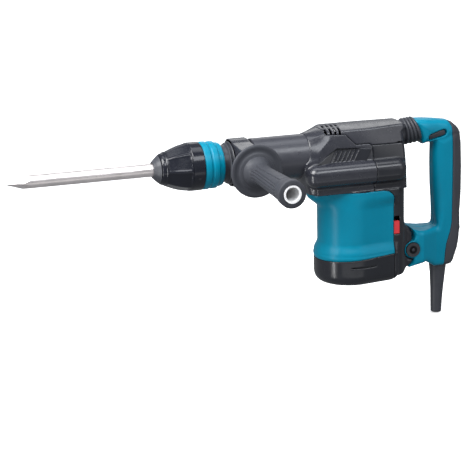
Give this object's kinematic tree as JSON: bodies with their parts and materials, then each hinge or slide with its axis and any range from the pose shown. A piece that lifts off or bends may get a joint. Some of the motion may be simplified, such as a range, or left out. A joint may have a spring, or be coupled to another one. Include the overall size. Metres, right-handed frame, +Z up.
{
  "type": "demolition hammer",
  "caption": "Electric demolition hammer with a long chisel, quick-release chuck, swinging side grip, upright motor housing and a sprung rear D-handle.",
  "frame": {"origin": "on the blow axis, in the middle of the bare round barrel, where a stand or a hand holds the tool", "axes": "-X along the blow towards the chisel point, +Z up, -Y towards the side grip"},
  "size_m": [0.667, 0.2598, 0.2958],
  "materials": {
    "chisel_steel": "satin ground steel, fine lengthwise grain",
    "polished_steel": "ground and hardened steel",
    "dark_steel": "blackened steel",
    "spring_steel": "drawn spring wire",
    "aluminium": "die-cast aluminium",
    "painted_barrel": "charcoal paint on cast metal, satin",
    "charcoal_plastic": "charcoal moulded nylon, fine texture",
    "black_plastic": "black moulded nylon",
    "teal_plastic": "teal moulded nylon, semi-gloss",
    "grip_rubber": "soft-touch rubber",
    "rubber": "black moulded rubber",
    "white_plastic": "white moulded plastic",
    "red_plastic": "red moulded plastic",
    "natural_plastic": "natural moulded nylon",
    "lamp_lens": "clear tinted lens",
    "bronze": "sintered bronze and brass sheet",
    "copper": "copper segments",
    "lamination": "varnished steel laminations",
    "carbon": "carbon and graphite block"
  },
  "bodies": {
    "housing": {"barrel": "painted_barrel", "neck_washer": "polished_steel", "holder_bush": "bronze", "damper_ring": "rubber", "cylinder": "polished_steel", "crank_bearing": "polished_steel", "drive_frame": "aluminium", "weight_spring_front": "spring_steel", "weight_spring_rear": "spring_steel", "upper_housing": "charcoal_plastic", "top_cover": "charcoal_plastic", "rear_cover": "black_plastic", "motor_housing": "teal_plastic", "bottom_cover": "black_plastic", "motor_bearings": "polished_steel", "stator": "lamination", "brush_holders": "bronze", "carbon_brushes": "carbon", "switch_body": "black_plastic", "status_lamps": "lamp_lens", "handle_lug": "aluminium", "pivot_pin": "polished_steel", "housing_screws": "dark_steel", "handle_springs": "spring_steel", "bellows": "rubber"},
    "chuck": {"nose_cap": "rubber", "chuck_cover": "charcoal_plastic", "tool_holder": "dark_steel", "lock_rollers": "polished_steel", "sleeve_spring": "spring_steel"},
    "sleeve": {"locking_sleeve": "teal_plastic", "lock_ring": "polished_steel"},
    "chisel": {"chisel": "chisel_steel"},
    "impact_bolt": {"impact_bolt": "polished_steel"},
    "striker": {"striker": "polished_steel", "striker_ring": "rubber"},
    "piston": {"piston": "aluminium", "piston_ring": "rubber", "wrist_pin": "polished_steel"},
    "connecting_rod": {"connecting_rod": "aluminium"},
    "crank": {"crankshaft": "polished_steel", "crank_gear": "dark_steel"},
    "motor": {"armature": "lamination", "commutator": "copper", "fan": "natural_plastic"},
    "counterweight": {"counterweight": "dark_steel"},
    "side_handle": {"clamp_collar": "painted_barrel", "side_grip_bolt": "polished_steel"},
    "side_grip": {"grip_flange": "grip_rubber", "side_grip": "grip_rubber", "grip_sleeve": "white_plastic"},
    "switch_lever": {"switch_lever": "red_plastic"},
    "speed_dial": {"speed_dial": "black_plastic"},
    "handle": {"handle_left": "teal_plastic", "handle_right": "teal_plastic", "handle_back": "grip_rubber", "pivot_caps": "black_plastic", "cord_guard": "rubber", "cord_clamp": "black_plastic", "handle_screws": "dark_steel"}
  },
  "joints": [
    {"name": "chuck_turn", "type": "hinge", "parent": "housing", "child": "chuck", "pos_m": [-0.047, 0, 0], "axis": [1, 0, 0], "continuous": true},
    {"name": "sleeve_slide", "type": "slide", "parent": "chuck", "child": "sleeve", "axis": [1, 0, 0], "range_m": [0, 0.008], "stiffness_N_per_m": 1500, "springref_m": -0.01, "deforming": ["sleeve_spring"]},
    {"name": "chisel_slide", "type": "slide", "parent": "chuck", "child": "chisel", "axis": [-1, 0, 0], "range_m": [0, 0.012]},
    {"name": "bolt_slide", "type": "slide", "parent": "chuck", "child": "impact_bolt", "axis": [1, 0, 0], "range_m": [0, 0.006]},
    {"name": "striker_slide", "type": "slide", "parent": "housing", "child": "striker", "axis": [1, 0, 0], "range_m": [0, 0.018]},
    {"name": "piston_slide", "type": "slide", "parent": "housing", "child": "piston", "axis": [1, 0, 0], "range_m": [-0.024, 0]},
    {"name": "rod_swing", "type": "hinge", "parent": "piston", "child": "connecting_rod", "pos_m": [0.04612, 0, 0], "axis": [0, 0, 1], "range_deg": [-13.3, 13.3]},
    {"name": "crank_spin", "type": "hinge", "parent": "housing", "child": "crank", "pos_m": [0.08612, 0, -0.029], "axis": [0, 0, 1], "continuous": true},
    {"name": "motor_spin", "type": "hinge", "parent": "housing", "child": "motor", "pos_m": [0.118, 0, -0.029], "axis": [0, 0, 1], "continuous": true},
    {"name": "weight_slide", "type": "slide", "parent": "housing", "child": "counterweight", "axis": [1, 0, 0], "range_m": [-0.008, 0.008], "stiffness_N_per_m": 3000, "deforming": ["weight_spring_front", "weight_spring_rear"]},
    {"name": "side_handle_swing", "type": "hinge", "parent": "housing", "child": "side_handle", "pos_m": [-0.0395, 0, 0], "axis": [1, 0, 0], "continuous": true},
    {"name": "grip_turn", "type": "hinge", "parent": "side_handle", "child": "side_grip", "pos_m": [-0.0395, -0.062, 0], "axis": [0, -1, 0], "range_deg": [0, 720]},
    {"name": "lever_slide", "type": "slide", "parent": "housing", "child": "switch_lever", "axis": [0, 0, 1], "range_m": [0, 0.006]},
    {"name": "dial_turn", "type": "hinge", "parent": "housing", "child": "speed_dial", "pos_m": [0.1816, 0.03, -0.088], "axis": [0, 1, 0], "range_deg": [-140, 140]},
    {"name": "handle_pivot", "type": "hinge", "parent": "housing", "child": "handle", "pos_m": [0.205, 0, -0.145], "axis": [0, 1, 0], "range_deg": [-1.8, 0.6], "stiffness_Nm_per_rad": 500, "deforming": ["bellows", "handle_springs"]}
  ],
  "couplings": [
    {"joint": "motor_spin", "follows": "crank_spin", "ratio": -5.375}
  ]
}
